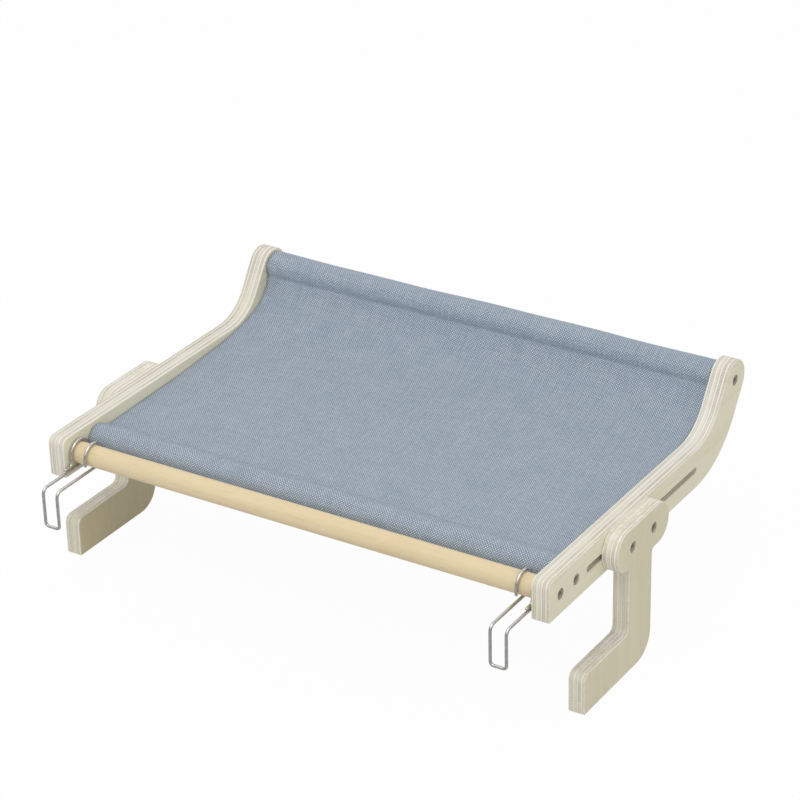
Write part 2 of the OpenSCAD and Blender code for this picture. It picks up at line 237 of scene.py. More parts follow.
class StageSizes(bpy.types.PropertyGroup):
    azimuth: angle("Azimuth", "Direction of the camera round the hammock", 32.648)
    elevation: angle("Elevation", "Height of the camera above the horizon", 27.217)
    roll: angle("Roll", "Turn of the camera about its own axis", -1.408)
    distance: length("Distance", "Distance of the camera from its target", 2.67449)
    target_y: length("Target Y", "Target of the camera, along Y", 0.17368)
    target_z: length("Target Z", "Target of the camera, along Z", 0.04066)
    lens: number("Lens", "Focal length", 127.777, 1, subtype="DISTANCE_CAMERA")
    key_power: number("Key power", "Power of the large lamp", 14.5, subtype="POWER", unit="POWER")
    sky_low: number("Sky, horizon", "Strength of the soft light from the sides", 1.0)
    sky_high: number("Sky, top", "Strength of the soft light from above", 0.6)
    mirror_low: share("Mirrored horizon", "Brightness of the horizon as glossy surfaces mirror it", 0.2)
    mirror_floor: share("Mirrored floor", "Brightness of the floor as glossy surfaces mirror it", 0.5)
    floor_drop: length("Floor drop", "Distance of the floor below the soles", 0.0005)
    floor_tone: share("Floor tone", "How much light the floor throws back", 0.72)
    floor_white: share("Floor white", "Share of plain white in the floor as the camera sees it", 0.97)


def smooth(t):
    """Eases from 0 to 1 as t runs from 0 to 1: three t squared minus two t cubed."""
    t = np.clip(t, 0, 1)
    return t * t * (3 - 2 * t)


def bezier(points, t):
    """Cubic curve through four control points: each is weighted by its Bernstein polynomial in t."""
    t = t[:, None]
    a, b, c, d = (np.asarray(p, float) for p in points)
    return (1 - t) ** 3 * a + 3 * t * (1 - t) ** 2 * b + 3 * t * t * (1 - t) * c + t ** 3 * d


def unit(vectors):
    """A vector, or each row of them, brought to a length of one."""
    return vectors / np.linalg.norm(vectors, axis=-1, keepdims=True)


def circle(count):
    """Angles in even steps once round."""
    return np.arange(count) * 2 * math.pi / count


def heading(radians):
    """Directions in Y and Z at angles from +Y."""
    return np.stack([np.cos(radians), np.sin(radians)], -1)


def polar(centre, radius, radians):
    """Points at radii and angles from a centre, in Y and Z."""
    return centre + np.reshape(radius, (-1, 1)) * heading(radians)


def outline(turns, step=6):
    """A closed outline in Y and Z and its outward normals.

    turns lists arcs as (y, z, radius, from, to) in degrees, and straights join their ends.
    An arc whose angle grows is a convex corner, and one whose angle falls is a hollow one.
    """
    points, normals = [], []
    for y, z, radius, start, end in turns:
        ray = heading(np.radians(np.linspace(start, end, int(abs(end - start) / step) + 1)))
        points.append([y, z] + radius * ray)
        normals.append(ray if end > start else -ray)
    points, normals = np.concatenate(points), np.concatenate(normals)
    apart = np.linalg.norm(points - np.roll(points, 1, axis=0), axis=1) > 1e-6
    return points[apart], normals[apart]


def quads(rows, columns, wrap_columns=True, wrap_rows=False):
    """Corner numbers of the faces of a grid of points, joined round where it wraps."""
    r = np.arange(rows if wrap_rows else rows - 1)[:, None]
    c = np.arange(columns if wrap_columns else columns - 1)[None, :]
    r2, c2 = (r + 1) % rows, (c + 1) % columns
    corners = [r * columns + c, r * columns + c2, r2 * columns + c2, r2 * columns + c]
    return np.stack([np.broadcast_to(k, (r.size, c.size)) for k in corners], -1).reshape(-1, 4)


def mesh_of(name, points, faces):
    mesh = bpy.data.meshes.new(name)
    mesh.from_pydata(np.asarray(points).reshape(-1, 3), [], np.asarray(faces).tolist())
    return mesh


def reworked(mesh, change):
    """Makes a change to a mesh's points and faces, and turns its faces outwards."""
    work = bmesh.new()
    work.from_mesh(mesh)
    change(work)
    bmesh.ops.recalc_face_normals(work, faces=work.faces)
    work.to_mesh(mesh)
    work.free()
    return mesh


def merged(name, points, faces):
    """A mesh whose doubled points, as at a pole, are merged."""
    return reworked(mesh_of(name, points, faces),
                    lambda work: bmesh.ops.remove_doubles(work, verts=work.verts, dist=1e-6))


def show(name, data):
    """Links a new object with this data to the scene."""
    made = bpy.data.objects.new(name, data)
    bpy.context.scene.collection.objects.link(made)
    return made


def piece(mesh, node, finish, even_faces=True, stands_in=True):
    """Links a finished mesh as a piece that rides on a CAD node's body and, as a rule, stands for it."""
    mesh.shade_smooth()
    mesh.materials.append(bpy.data.materials[finish])
    made = show(mesh.name, mesh)
    if even_faces:
        made.modifiers.new("Even faces", "WEIGHTED_NORMAL")
    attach(made, BODY_OF[node])
    if stands_in:
        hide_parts(node)
    return made


def rounding(radius, steps=4):
    """Inset and depth along a quarter round, from the flat face to the side."""
    a = np.linspace(0, math.pi / 2, steps + 1)
    return radius * (1 - np.sin(a)), radius * (1 - np.cos(a))


def rim_profile(x_in, x_out, radius):
    """Inset, X and edge mask across a plate's side, from the outer face round to the inner one."""
    inset, depth = rounding(radius)
    mask = np.sin(np.linspace(0, math.pi, inset.size))
    return (np.concatenate([inset, inset[::-1]]), np.concatenate([x_out - depth, x_in + depth[::-1]]),
            np.concatenate([mask, mask]))


def bolt_profile(x_in, x_out, wood):
    """The same across a sunk bolt hole: wide down to its floor, then narrow to the inner face."""
    inset, depth = rounding(wood.hole_round, 2)
    step = (wood.counterbore - wood.bore) / 2
    floor = x_out - wood.counterbore_depth
    insets = np.concatenate([-inset, [0, step], step - inset[::-1]])
    return insets, np.concatenate([x_out - depth, [floor, floor], x_in + depth[::-1]]), np.zeros(insets.size)


def plate(name, rim, holes, side):
    """A flat plate: its outline and its holes carried along their profiles, and two flat faces between them.

    Each loop is a pair of an outline and a profile. A point of a side surface is the outline's
    point, moved against its normal by the profile's inset, at the profile's X.
    """
    points, faces, mask, loops = [], [], [], []
    for (line, normals), (insets, xs, edge) in [rim, *holes]:
        start, size = sum(len(p) for p in points), len(line)
        flat = line[None] - insets[:, None, None] * normals[None]
        x = np.broadcast_to(side * xs[:, None, None], (*flat.shape[:2], 1))
        points.append(np.concatenate([x, flat], -1).reshape(-1, 3))
        faces.append(quads(len(xs), size) + start)
        mask.append(np.repeat(edge, size))
        loops.append([range(k, k + size) for k in (start, start + (len(xs) - 1) * size)])
    mesh = mesh_of(name, np.concatenate(points), np.concatenate(faces))
    mesh.attributes.new("edge", "FLOAT", "POINT").data.foreach_set("value", np.concatenate(mask))

    def fill_ends(work):
        work.verts.ensure_lookup_table()
        for end in zip(*loops):
            pairs = [(loop[k - 1], loop[k]) for loop in end for k in range(len(loop))]
            edges = [work.edges.get([work.verts[k] for k in pair]) for pair in pairs]
            bmesh.ops.triangle_fill(work, use_beauty=True, edges=edges)

    return reworked(mesh, fill_ends)


def rail_turns(wood):
    """The rail's outline: front corners, the bend's outer arc, the round back end, the bend's inner arc."""
    front, bend = RAIL_LOW[1], math.degrees(wood.bend_angle)
    top, bottom = wood.rail_top_round, wood.rail_bottom_round
    bend_z = wood.bend_radius
    return [
        (front + bottom, bottom - BAR_R, bottom, 180, 270),
        (wood.bend_start, bend_z, bend_z + BAR_R, -90, bend - 90),
        (*SLING_BACK, BAR_R, bend - 90, bend + 90),
        (wood.bend_start, bend_z, bend_z - BAR_R, bend - 90, -90),
        (front + top, BAR_R - top, top, 90, 180),
    ]


def leg_turns(wood):
    """The leg's outline: round head, stem, foot with its toe and heel, and the hollow corners between."""
    head_back, sole, foot_front = LEG_HIGH[1] - BAR_R, LEG_LOW[2], LEG_LOW[1]
    neck, nape = wood.neck_front_round, wood.neck_back_round
    foot_top = sole + wood.foot_top
    toe, tread, heel, instep = wood.toe_round, wood.sole_round, wood.heel_round, wood.instep_round
    return [
        (wood.stem_front - neck, 0, BAR_R, 90, 270),
        (wood.stem_front - neck, -BAR_R - neck, neck, 90, 0),
        (wood.stem_front - instep, foot_top + instep, instep, 0, -90),
        (foot_front + toe, foot_top - toe, toe, 90, 180),
        (foot_front + tread, sole + tread, tread, 180, 270),
        (wood.stem_back - heel, sole + heel, heel, 270, 360),
        (wood.stem_back + nape, -BAR_R - nape, nape, 180, 90),
        (head_back, 0, BAR_R, -90, 90),
    ]


def bolt_holes(places, x_in, x_out, wood):
    """A circle and its profile for each of the sunk bolt holes at these places in Y and Z."""
    profile = bolt_profile(x_in, x_out, wood)
    return [(outline([(*at, wood.counterbore / 2, 0, 360)], 10), profile) for at in places]


def revolve(profile, hexagon=None, around=48):
    """A surface turned about the X axis, as rings of points.

    profile lists (x, radius). hexagon gives for each ring how far its round becomes a hexagon of
    that inner radius: the radius is divided by the cosine of the angle from the nearest flat.
    """
    x, r = np.asarray(profile, float).T
    a = circle(around)
    flat = 1 / np.cos((a + math.pi / 6) % (math.pi / 3) - math.pi / 6)
    six = np.zeros(len(x)) if hexagon is None else np.asarray(hexagon, float)
    radius = r[:, None] * (1 + six[:, None] * (flat - 1)[None])
    return np.stack([np.broadcast_to(x[:, None], radius.shape), radius * np.cos(a), radius * np.sin(a)], -1)


def placed(rings, x, at, side):
    """Rings about the X axis put at a place in Y and Z, and turned half round on the left."""
    turned = rings * np.array([side, side, 1])
    return turned + np.array([side * x, at[0], at[1]])


def join(parts, wrap_rows=False):
    """Points and faces of several grids of rings in one mesh."""
    points, faces, start = [], [], 0
    for rings in parts:
        points.append(rings.reshape(-1, 3))
        faces.append(quads(*rings.shape[:2], wrap_rows=wrap_rows) + start)
        start += rings.shape[0] * rings.shape[1]
    return np.concatenate(points), np.concatenate(faces)


def rod_profile(wood):
    """Along a rod's outside and into its bore at both ends, from axis to axis."""
    insert_r, bore, c = INSERT_HIGH[2] + wood.insert_room, wood.bore / 2, wood.rod_chamfer
    insert_end, tip = INSERT_HIGH[0] - wood.insert_hole, SCREW_TOP - wood.screw_hole
    half = [(tip, 0), (tip, bore), (insert_end, bore), (insert_end, insert_r), (RAIL_IN, insert_r),
            (RAIL_IN, ROD_R - c), (RAIL_IN - c, ROD_R)]
    first_ring = RAIL_IN - 0.004
    half += [(x, ROD_R) for x in np.linspace(first_ring, 0, 8)]
    return [(-x, r) for x, r in half] + [(x, r) for x, r in half[-2::-1]]


def bolt_rings(metal, length_under_head, per_turn=6, around=48):
    """A socket-head bolt along X with its seat at x = 0: socket, chamfered head, shank, thread and tip.

    The thread is a helix: the radius falls by a triangle wave of the turn plus x over the pitch.
    """
    top, c, r = metal.head_height, metal.chamfer, metal.bolt_radius
    socket_r, floor = metal.socket / 2, top - metal.socket_depth
    profile = [(floor - metal.socket_cone, 0), (floor, socket_r), (top - c / 2, socket_r),
               (top, socket_r + c), (top, HEAD_R - c), (top - c, HEAD_R), (c / 2, HEAD_R),
               (0, HEAD_R - c / 2), (0, r)]
    steps = int(metal.thread_run / metal.thread_pitch * per_turn)
    run = np.linspace(metal.thread_run - length_under_head, c - length_under_head, steps)
    wave = np.abs((run[:, None] / metal.thread_pitch + np.arange(around) / around) % 1 * 2 - 1)
    shrink = 1 - metal.thread_depth / r * wave * smooth(np.arange(steps) / per_turn)[:, None]
    head = revolve(profile, [0, 1, 1, 0, 0, 0, 0, 0, 0], around)
    shank = revolve([(x, r) for x in run], around=around)
    shank[:, :, 1:] *= shrink[:, :, None]
    tip = revolve([(-length_under_head, r * 0.78), (-length_under_head, 0)], around=around)
    return np.concatenate([head, shank, tip])


def both_faces(half, thick):
    """A profile of (x, radius) from one face to the rim, and on to the other face."""
    return half + [(thick - x, r) for x, r in half[::-1]]


def washer_rings(metal, thick, radius, bore):
    """A washer along X from x = 0: a rectangle with small chamfers, turned about the axis."""
    c = metal.chamfer / 2
    return revolve(both_faces([(0, bore), (0, radius - c), (c, radius)], thick))


def nut_rings(metal, thick, bore):
    """A hexagon nut along X from x = 0, with its corners turned off and its bore bevelled."""
    flat, c = metal.nut_flats / 2, metal.chamfer
    half = [(c, bore), (0, bore + c), (0, flat * 0.97), (c, flat)]
    return revolve(both_faces(half, thick), [0, 0, 0.1, 1, 1, 0.1, 0, 0])


def bend_path(corners, step=6):
    """A wire's centre line: straights between corner points, each corner rounded to its radius."""
    spots = np.array([c[:3] for c in corners], float)
    line = [spots[0]]
    for before, spot, after, corner in zip(spots, spots[1:], spots[2:], corners[1:]):
        into, out = unit(spot - before), unit(after - spot)
        turn = math.acos(np.clip(into @ out, -1, 1))
        reach = corner[3] * math.tan(turn / 2)
        side = unit(out - (out @ into) * into)
        t = np.linspace(0, turn, max(2, int(math.degrees(turn) / step) + 1))[:, None]
        line.extend(spot - reach * into + corner[3] * (np.sin(t) * into + (1 - np.cos(t)) * side))
    line.append(spots[-1])
    line = np.array(line)
    return line[np.append(True, np.linalg.norm(np.diff(line, axis=0), axis=1) > 1e-6)]


def hook_half(metal, tipped, around=20):
    """Rings round half a hook's wire, from its free end to the middle of the drop's bottom.

    It runs in a plane of constant X up the front of the rod, three quarters round it, forward and
    down, and then over to the hook's middle. Each ring lies in the plane of two directions square
    to the wire, and the free end is drawn in to a dome.
    """
    wire = metal.wire_radius
    loop = HOOK_HIGH[1] - wire
    reach, drop = -metal.hook_reach, -loop - metal.hook_drop
    half, tail, bend = metal.hook_width / 2, metal.tail, metal.tip_bend
    tip = [(-loop - bend - metal.tip, -tail - bend, 0), (-loop, -tail - bend, bend)]
    corners = [*(tip if tipped else [(-loop, -tail, 0)]), (-loop, loop, loop), (loop, loop, loop),
               (loop, -loop, loop), (reach, -loop, metal.hook_bend), (reach, drop, metal.hook_corner)]
    line = bend_path([(half, *corner) for corner in corners] + [(0, reach, drop, 0)])
    along = unit(np.gradient(line, axis=0))
    flat = np.abs(along[:, :1]) < 1e-3
    across = np.where(flat, np.cross(along, [1.0, 0, 0]), [0, -1.0, 0])
    first = np.cross(across, along)
    radius = np.full(len(line), wire)
    cap = np.linspace(math.pi / 2, 0, 5)[:-1]
    line = np.concatenate([line[:1] - along[:1] * wire * np.sin(cap)[:, None], line])
    first, across = (np.concatenate([np.repeat(d[:1], len(cap), axis=0), d]) for d in (first, across))
    radius = np.concatenate([wire * np.cos(cap), radius])
    a = circle(around)
    ring = np.cos(a)[None, :, None] * first[:, None] + np.sin(a)[None, :, None] * across[:, None]
    return line[:, None] + radius[:, None, None] * ring


def hook_rings(metal, side):
    """A whole hook: the half beside the rail, whose end turns forward, and a plain half's mirror image."""
    outer, inner = hook_half(metal, True), hook_half(metal, False)
    rings = np.concatenate([outer, (inner * [-1, 1, 1])[-2::-1]])
    centre = (HOOK_LOW[0] + HOOK_HIGH[0]) / 2
    return (rings + [centre, 0, 0]) * [side, 1, 1]


class Bed:
    """The cloth's middle surface: a line in Y and Z carried across X, moved along its normal by a relief.

    The line starts at the front seam, runs round the front rod, along the flat stretch and up one
    cubic curve to the crease, then round the back rod until it lies behind the crease again.
    """

    def __init__(self, cloth):
        self.cloth = cloth
        t = np.linspace(0, 1, 40)
        hem_lift, fold_pull, dip_pull = 0.0008, 0.0045, 0.007
        near = ROD_R + cloth.near_gap + cloth.thickness / 2

        # Front tunnel: from behind the rod, under it, up its front and over its top, where it puffs up
        first, last, puff_run = np.radians([25, -300, 130])
        turn = np.linspace(first, last, 150)
        tunnel = polar(SLING_FRONT, near + cloth.front_puff * smooth((-turn - math.pi) / puff_run), turn)
        valley, rise = np.array([cloth.valley_y, cloth.valley_z]), np.array([cloth.rise_y, cloth.rise_z])
        slope, lip = unit(rise - valley), unit(tunnel[-1] - tunnel[-2])
        start = np.array([cloth.seam_y + cloth.hem, cloth.valley_z + hem_lift - cloth.thickness])
        under_seam, along = np.array([-0.005, 0.0012]), heading(first + math.pi / 2)
        fold = bezier([start, start + under_seam, tunnel[0] + fold_pull * along, tunnel[0]], t)
        dip = bezier([tunnel[-1], tunnel[-1] + dip_pull * lip, valley - dip_pull * slope, valley], t)
        flat = valley + (rise - valley) * t[:, None]

        # Back tunnel: once round from the crease, with a bulge on top that sinks on the way down behind
        crease_r = ROD_R + cloth.crease_gap
        crease = SLING_BACK + crease_r * heading(cloth.crease_angle)
        steeper = np.array([0, 0.07])
        curve = bezier([rise, rise + cloth.rise_pull * (slope + steeper),
                        crease - cloth.back_pull * heading(cloth.back_slope), crease], np.linspace(0, 1, 120))
        swell, sink, settle, whole = np.radians([62, 200, 170, 372])
        swing, top = np.linspace(0, whole, 220), 2.1
        past_top = swing - top
        bulge = smooth(swing / swell) * (1 - smooth(past_top / sink))
        base = crease_r + (near - crease_r) * smooth(past_top / settle)
        loop = polar(SLING_BACK, base + cloth.back_puff * bulge, cloth.crease_angle - swing)

        runs = {"fold": fold, "tunnel": tunnel[1:], "dip": dip[1:], "flat": flat[1:], "curve": curve[1:],
                "loop": loop[1:]}
        self.line = np.concatenate(list(runs.values()))
        self.s = np.append(0, np.cumsum(np.linalg.norm(np.diff(self.line, axis=0), axis=1)))
        ends = np.cumsum([len(run) for run in runs.values()]) - 1
        self.end = dict(zip(runs, self.s[ends]))
        ahead = unit(np.gradient(self.line, self.s, axis=0))
        self.normal = np.stack([-ahead[:, 1], ahead[:, 0]], -1)
        self.bulge = np.append(np.zeros(ends[4]), bulge)
        self.length = self.s[-1]
        seam_share = np.interp(cloth.seam_y, dip[:, 0], t)
        self.seam = self.end["tunnel"] + seam_share * (self.end["dip"] - self.end["tunnel"])

    def relief(self, s, x):
        """How far the cloth stands off its line: the tunnels' uneven puff, soft waves and the seams' puckers.

        The puff and the waves are sums of sines of x and s with heights in millimetres, eased in and
        out. The crease and the drag at the front seam are bell curves in s, uneven along x.
        """
        mm, cloth, end = 0.001, self.cloth, self.end
        half = BED_HIGH[0]
        top = smooth((s - 0.62 * end["tunnel"]) / 0.015) * (1 - smooth((s - end["tunnel"] - 0.004) / 0.010))
        free = 1 - smooth((np.abs(x) - half + 0.030) / 0.020)
        sheet = smooth((s - end["dip"]) / 0.03) * (1 - smooth((s - end["curve"] + 0.03) / 0.03))
        front = top * (0.35 * np.sin(x / 0.031 + 1.1) + 0.25 * np.sin(x / 0.0123) + 0.25) * mm * free
        uneven = (0.45 * np.sin(x / 0.052 + 0.6) + 0.22 * np.sin(x / 0.019 + 2.0)) * mm
        back = np.interp(s, self.s, self.bulge) * (uneven - cloth.back_lean * x / half)
        wave = sheet * free * mm * (
            0.55 * np.sin(x / 0.041 + s / 0.06) + 0.4 * np.sin(x / 0.075 - s / 0.035 + 1.7)
            + 0.25 * np.sin(s / 0.017 + 0.8 * np.sin(x / 0.06)))
        pull = 1 + 0.3 * np.sin(x / 0.0024) + 0.25 * np.sin(x / 0.0041 + 1.3)
        crease = -0.6 * mm * pull * np.exp(-((s - end["curve"]) / 0.0042) ** 2)
        drag = -0.12 * mm * free * (pull - 1) * np.exp(-((s - self.seam) / 0.0035) ** 2)
        return front + back + wave + crease + drag

    def point(self, s, x, above=0.0):
        """The surface: the line's point at s, moved along its normal by the relief and a height above it."""
        lift = self.relief(s, x) + above
        y, z, ny, nz = (np.interp(s, self.s, v) for v in (*self.line.T, *self.normal.T))
        return np.stack(np.broadcast_arrays(x, y + lift * ny, z + lift * nz), -1)

    def rows(self, near=0.02):
        """Places along the line: close together in the tunnels and near the crease, and else wider apart."""
        dip, crease = self.end["dip"], self.end["curve"]
        stretches = ((0, dip, 64), (dip, crease - near, 52), (crease - near, crease + near, 30),
                     (crease + near, self.length, 52))
        return np.unique(np.concatenate([np.linspace(*stretch) for stretch in stretches]))


def stitches(bed, row, height, along=9, around=6):
    """A row of stitches: each is a short thread that dips into the cloth at its ends.

    Along a stitch, from -1 to 1, the thread's radius falls as the fourth root of one minus the
    fourth power, and its height falls by the square.
    """
    cloth, side_gap, dip = bed.cloth, 0.004, 1.6
    inner = BED_HIGH[0] - side_gap
    count = int(2 * inner / cloth.stitch_pitch)
    run = np.linspace(-1, 1, along)[None, :, None]
    turn = circle(around)[None, None, :]
    radius = cloth.stitch_radius * np.maximum(1 - run ** 4, 0) ** 0.25
    x = np.linspace(-inner, inner, count)[:, None, None] + run * cloth.stitch_length / 2 + 0 * turn
    lift = height - cloth.stitch_radius * dip * run ** 2
    points = bed.point(row + radius * np.cos(turn), x, lift + radius * np.sin(turn))
    faces = quads(along, around) + (np.arange(count) * along * around)[:, None, None]
    return points, faces.reshape(-1, 4)


class Tree:
    """Adds nodes to a shader tree.

    An input that is given as a socket is linked, and any other value is set on its own socket.
    """

    def __init__(self, tree):
        self.nodes, self.links = tree.nodes, tree.links

    def fill(self, node, inputs):
        for name, value in inputs.items():
            if isinstance(value, bpy.types.NodeSocket):
                self.links.new(value, node.inputs[name])
            else:
                node.inputs[name].default_value = value

    def add(self, kind, inputs=None, **settings):
        """Adds a node and gives its outputs."""
        made = self.nodes.new(kind)
        for name, value in settings.items():
            setattr(made, name, value)
        self.fill(made, inputs or {})
        return made.outputs

    def use(self, name, **inputs):
        """Places a shared group."""
        return self.add("ShaderNodeGroup", inputs, node_tree=bpy.data.node_groups[name])

    def calc(self, operation, *values):
        return self.add("ShaderNodeMath", dict(enumerate(values)), operation=operation)[0]

    def times(self, first, second):
        return self.calc("MULTIPLY", first, second)

    def minus(self, first, second):
        return self.calc("SUBTRACT", first, second)

    def blended(self, factor, first, second):
        """Between two numbers."""
        return self.add("ShaderNodeMix", {0: factor, 2: first, 3: second})[0]

    def mixed(self, factor, first, second, blend="MIX"):
        """Between two colours."""
        return self.add("ShaderNodeMix", {0: factor, 6: first, 7: second}, data_type="RGBA",
                        blend_type=blend)[2]

    def tinted(self, paint, mask, amount, tint, blend="MIX"):
        """A colour with another one over it, by a mask times an amount."""
        return self.mixed(self.times(mask, amount), paint, tint, blend)

    def ranged(self, value, low, high, to_low=0.0, to_high=1.0):
        """A value moved from one range to another, eased at both ends."""
        return self.add("ShaderNodeMapRange", {0: value, 1: low, 2: high, 3: to_low, 4: to_high},
                        interpolation_type="SMOOTHSTEP")[0]

    def split(self, vector):
        return self.add("ShaderNodeSeparateXYZ", {0: vector})

    def point(self, *parts):
        return self.add("ShaderNodeCombineXYZ", dict(enumerate(parts)))[0]

    def mapped(self, vector, **change):
        return self.add("ShaderNodeMapping", {"Vector": vector, **change})[0]

    def noise(self, vector, scale, detail, roughness=0.55, distortion=0.0, shift=(0, 0, 0)):
        """A noise with one scale, or with one for each direction."""
        if isinstance(scale, tuple):
            vector, scale = self.mapped(vector, Scale=scale, Location=shift), 1.0
        return self.add("ShaderNodeTexNoise", {"Vector": vector, "Scale": scale, "Detail": detail,
                                               "Roughness": roughness, "Distortion": distortion})["Fac"]

    def drawn(self, number):
        """A random value that hangs on a number alone."""
        return self.add("ShaderNodeTexWhiteNoise", {"W": number}, noise_dimensions="1D")["Value"]

    def coat(self, surface, paint, rough, height, depth):
        """Gives a Principled shader its colour, its roughness and a bump of this depth."""
        normal = self.add("ShaderNodeBump", {"Height": height, "Distance": depth, "Strength": 1.0})[0]
        self.fill(surface, {"Base Color": paint, "Roughness": rough, "Normal": normal})


def dimmed(paint, amount):
    return (*[v * amount for v in paint[:3]], 1.0)


def group(name, vectors, values, results):
    """An empty shader node group: its tree, its start's outputs and its end node."""
    made = bpy.data.node_groups.new(name, "ShaderNodeTree")
    sockets = (("INPUT", "Vector", vectors), ("INPUT", "Float", values), ("OUTPUT", "Float", results))
    for way, kind, labels in sockets:
        for label in labels:
            made.interface.new_socket(label, in_out=way, socket_type=f"NodeSocket{kind}")
    tree = Tree(made)
    return tree, tree.add("NodeGroupInput"), tree.nodes.new("NodeGroupOutput")


def grain_group():
    """Wood grain: streaks and fine pores along the third direction of the vector it is given."""
    tree, start, end = group("Wood grain", ["Vector"], ["Pores"], ["Streaks", "Pores", "Height", "Clouds"])
    vector = start["Vector"]
    wide = tree.noise(vector, (22, 22, 1.6), 4.0, 0.6, 0.4)
    fine = tree.noise(vector, (260, 260, 7), 3.0, 0.65)
    streaks = tree.calc("MULTIPLY_ADD", fine, 0.45, tree.times(wide, 0.55))
    dashes = tree.noise(vector, (900, 900, 55), 1.0, 0.5)
    pores = tree.times(tree.ranged(dashes, 0.60, 0.72), start["Pores"])
    clouds = tree.noise(vector, (16, 16, 7), 2.0, 0.5, shift=(3, 1, 2))
    tree.fill(end, {"Streaks": tree.ranged(streaks, 0.36, 0.66), "Pores": pores,
                    "Height": tree.minus(streaks, tree.times(pores, 0.5)),
                    "Clouds": tree.ranged(clouds, 0.48, 0.72)})


def ply_group():
    """Plywood edge: a soft wave from one veneer to the next, which pales in places, and the glue lines.

    The wave is a triangle over two veneers with its ends eased. White noise on a veneer's number
    makes some veneers and some glue lines fainter than others.
    """
    tree, start, end = group("Ply layers", ["Vector"], ["Depth"], ["Cross", "Glue"])
    vector = start["Vector"]
    drift = tree.calc("MULTIPLY_ADD", tree.noise(vector, (2, 9, 9), 2.0), 0.24, -0.12)
    depth = tree.calc("ADD", start["Depth"], drift)
    cross = tree.ranged(tree.calc("PINGPONG", tree.minus(depth, 0.5), 1.0), 0.2, 0.8)
    pale = tree.ranged(tree.noise(vector, (30, 22, 22), 2.0), 0.3, 0.6, 0.45, 1.0)
    pair = tree.calc("FLOOR", tree.times(depth, 0.5))
    uneven = tree.calc("MULTIPLY_ADD", tree.drawn(pair), 0.55, 0.45)
    faint = tree.drawn(tree.calc("ADD", tree.calc("ROUND", depth), 0.5))
    place = tree.calc("FRACT", depth)
    gap = tree.calc("MINIMUM", place, tree.minus(1.0, place))
    glue = tree.times(tree.ranged(gap, 0.04, 0.16, 1.0, 0.0), tree.ranged(faint, 0.2, 0.8, 0.1, 1.0))
    tree.fill(end, {"Cross": tree.times(tree.times(cross, pale), uneven), "Glue": glue})


def wear_group():
    """Handling wear: breaks an edge mask up with noise, and spreads faint smudges over the rest."""
    tree, start, end = group("Wear", ["Vector"], ["Edge", "Amount"], ["Edge", "Smudge"])
    chips = tree.ranged(tree.noise(start["Vector"], 180.0, 4.0, 0.7), 0.38, 0.62)
    smudge = tree.ranged(tree.noise(start["Vector"], 14.0, 4.0, 0.6), 0.45, 0.7)
    tree.fill(end, {"Edge": tree.times(tree.times(start["Edge"], chips), start["Amount"]),
                    "Smudge": tree.times(smudge, start["Amount"])})


def weave_group():
    """Plain weave: in every other cell of a grid of threads the warp lies on top, and else the weft.

    A thread is round across its width and dips at both ends of its cell. Each thread has its own
    shade, which also drifts along it.
    """
    tree, start, end = group("Plain weave", ["Threads"], [], ["Weft on top", "Height", "Shade"])
    u, v = tree.split(start["Threads"])[:2]
    row, column = tree.calc("FLOOR", v), tree.calc("FLOOR", u)
    weft_top = tree.calc("FLOORED_MODULO", tree.calc("ADD", row, column), 2.0)
    arches = [tree.calc("POWER", tree.calc("SINE", tree.times(tree.calc("FRACT", across), math.pi)), 0.6)
              for across in (u, v)]
    own, drift = 0.83, 0.045
    warp_at = tree.point(tree.times(column, own), tree.times(v, drift))
    weft_at = tree.point(tree.times(u, drift), tree.times(row, own), 7.0)
    warp_shade, weft_shade = (tree.noise(at, 1.0, 2.0, 0.7) for at in (warp_at, weft_at))
    tree.fill(end, {"Weft on top": weft_top, "Height": tree.times(*arches),
                    "Shade": tree.blended(weft_top, warp_shade, weft_shade)})


def metal_group():
    """Drawn or turned metal: faint lines along the third direction and a cloudy tarnish."""
    tree, start, end = group("Metal finish", ["Vector"], [], ["Lines", "Tarnish"])
    tarnish = tree.noise(start["Vector"], 420.0, 3.0, 0.6)
    tree.fill(end, {"Lines": tree.noise(start["Vector"], (2600, 2600, 60), 2.0),
                    "Tarnish": tree.ranged(tarnish, 0.4, 0.7)})


def shader(name, **constants):
    """A new material's tree and its Principled shader, whose even values are set on its own sockets."""
    material = bpy.data.materials.new(name)
    material.use_nodes = True
    tree = Tree(material.node_tree)
    surface = tree.nodes["Principled BSDF"]
    tree.fill(surface, {label.replace("_", " "): value for label, value in constants.items()})
    return tree, surface


